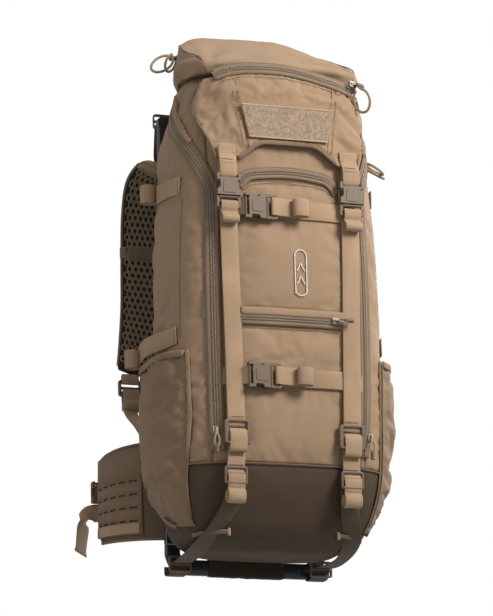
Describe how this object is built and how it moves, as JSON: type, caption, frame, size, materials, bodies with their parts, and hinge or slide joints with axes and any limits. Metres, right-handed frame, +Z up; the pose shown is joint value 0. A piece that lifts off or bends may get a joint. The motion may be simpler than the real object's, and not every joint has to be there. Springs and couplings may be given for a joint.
{
  "type": "hunting backpack",
  "caption": "Internal-frame hunting backpack: tall side-zipped bag with hinged lid, release buckles, sliding zips and a swinging shoulder and hip harness.",
  "frame": {"origin": "the point on the haul loop's inner face by which the pack hangs, on its middle plane", "axes": "+Z up, -Y out of the front of the pack away from the wearer, +X to the wearer's right"},
  "size_m": [0.3593, 0.379, 0.762],
  "materials": {
    "shell_fabric": "satin nylon pack cloth with a fine plain weave",
    "base_fabric": "coarse matte ballistic weave",
    "webbing": "ribbed nylon webbing",
    "mesh_foam": "foam pad faced with open spacer mesh",
    "loop_pile": "hook-and-loop pile",
    "buckle_plastic": "moulded acetal, fine satin texture",
    "zip_metal": "tan coated zinc",
    "frame_tube": "dark glossy blue-black coat"
  },
  "bodies": {
    "root": {"back_panel": "shell_fabric", "base_panel": "base_fabric", "bottom_crossbar": "frame_tube", "frame_sleeve": "base_fabric", "front_panel": "shell_fabric", "haul_loop": "webbing", "left_base_ladder": "buckle_plastic", "left_base_strap": "webbing", "left_front_strap": "webbing", "left_lifter_buckle": "buckle_plastic", "left_load_lifter": "webbing", "left_lower_side_strap": "webbing", "left_side_panel": "shell_fabric", "left_side_pocket": "shell_fabric", "left_stay": "frame_tube", "left_strap_ladder": "buckle_plastic", "left_upper_side_strap": "webbing", "lower_strap": "webbing", "lower_strap_socket": "buckle_plastic", "lumbar_pad": "mesh_foam", "right_base_ladder": "buckle_plastic", "right_base_strap": "webbing", "right_front_strap": "webbing", "right_lifter_buckle": "buckle_plastic", "right_load_lifter": "webbing", "right_lower_side_strap": "webbing", "right_side_panel": "shell_fabric", "right_side_pocket": "shell_fabric", "right_stay": "frame_tube", "right_strap_ladder": "buckle_plastic", "right_upper_side_strap": "webbing", "top_crossbar": "frame_tube", "upper_strap": "webbing", "upper_strap_socket": "buckle_plastic", "yoke_pad": "mesh_foam"},
    "lid": {"lid_shell": "shell_fabric", "lid_apron": "shell_fabric", "loop_patch": "loop_pile", "left_lid_socket": "buckle_plastic", "right_lid_socket": "buckle_plastic"},
    "left_lid_buckle": {"left_lid_tongue": "buckle_plastic"},
    "right_lid_buckle": {"right_lid_tongue": "buckle_plastic"},
    "upper_strap_buckle": {"upper_strap_tongue": "buckle_plastic"},
    "lower_strap_buckle": {"lower_strap_tongue": "buckle_plastic"},
    "left_side_zip": {"left_side_zip_slider": "zip_metal"},
    "right_side_zip": {"right_side_zip_slider": "zip_metal"},
    "front_zip": {"front_zip_slider": "zip_metal"},
    "lid_front_zip": {"lid_front_zip_slider": "zip_metal"},
    "lid_rear_zip": {"lid_rear_zip_slider": "zip_metal"},
    "left_shoulder": {"left_shoulder_pad": "mesh_foam", "left_adjuster_buckle": "buckle_plastic"},
    "right_shoulder": {"right_shoulder_pad": "mesh_foam", "right_adjuster_buckle": "buckle_plastic"},
    "left_sternum": {"sternum_socket": "buckle_plastic"},
    "right_sternum": {"sternum_tongue": "buckle_plastic"},
    "left_hip": {"left_hip_wing": "mesh_foam", "hip_socket": "buckle_plastic", "belt_tail": "webbing"},
    "right_hip": {"right_hip_wing": "mesh_foam", "hip_tongue": "buckle_plastic"}
  },
  "joints": [
    {"name": "lid_open", "type": "hinge", "parent": "root", "child": "lid", "pos_m": [0, -0.018, 0.019], "axis": [-1, 0, 0], "range_deg": [0, 85]},
    {"name": "left_lid_release", "type": "slide", "parent": "root", "child": "left_lid_buckle", "axis": [0, 0, -1], "range_m": [0, 0.025]},
    {"name": "right_lid_release", "type": "slide", "parent": "root", "child": "right_lid_buckle", "axis": [0, 0, -1], "range_m": [0, 0.025]},
    {"name": "upper_strap_release", "type": "slide", "parent": "root", "child": "upper_strap_buckle", "axis": [1, 0, 0], "range_m": [0, 0.025]},
    {"name": "lower_strap_release", "type": "slide", "parent": "root", "child": "lower_strap_buckle", "axis": [1, 0, 0], "range_m": [0, 0.025]},
    {"name": "left_side_zip_run", "type": "slide", "parent": "root", "child": "left_side_zip", "axis": [0, 0, 1], "range_m": [0, 0.3]},
    {"name": "right_side_zip_run", "type": "slide", "parent": "root", "child": "right_side_zip", "axis": [0, 0, 1], "range_m": [0, 0.3]},
    {"name": "front_zip_run", "type": "slide", "parent": "root", "child": "front_zip", "axis": [-1, 0, 0], "range_m": [0, 0.124]},
    {"name": "lid_front_zip_run", "type": "slide", "parent": "lid", "child": "lid_front_zip", "axis": [-0.984, -0.11, 0.14], "range_m": [0, 0.06]},
    {"name": "lid_rear_zip_run", "type": "slide", "parent": "lid", "child": "lid_rear_zip", "axis": [1, 0, 0], "range_m": [0, 0.15]},
    {"name": "left_shoulder_swing", "type": "hinge", "parent": "root", "child": "left_shoulder", "pos_m": [-0.062, -0.002, -0.095], "axis": [1, 0, 0], "range_deg": [0, 35]},
    {"name": "left_sternum_height", "type": "slide", "parent": "left_shoulder", "child": "left_sternum", "axis": [0, 0, 1], "range_m": [-0.04, 0.03]},
    {"name": "left_hip_swing", "type": "hinge", "parent": "root", "child": "left_hip", "pos_m": [-0.078, 0.002, -0.53], "axis": [0, 0, 1], "range_deg": [-15, 25]},
    {"name": "right_shoulder_swing", "type": "hinge", "parent": "root", "child": "right_shoulder", "pos_m": [0.062, -0.002, -0.095], "axis": [1, 0, 0], "range_deg": [0, 35]},
    {"name": "right_sternum_height", "type": "slide", "parent": "right_shoulder", "child": "right_sternum", "axis": [0, 0, 1], "range_m": [-0.04, 0.03]},
    {"name": "right_hip_swing", "type": "hinge", "parent": "root", "child": "right_hip", "pos_m": [0.078, 0.002, -0.53], "axis": [0, 0, -1], "range_deg": [-15, 25]}
  ]
}
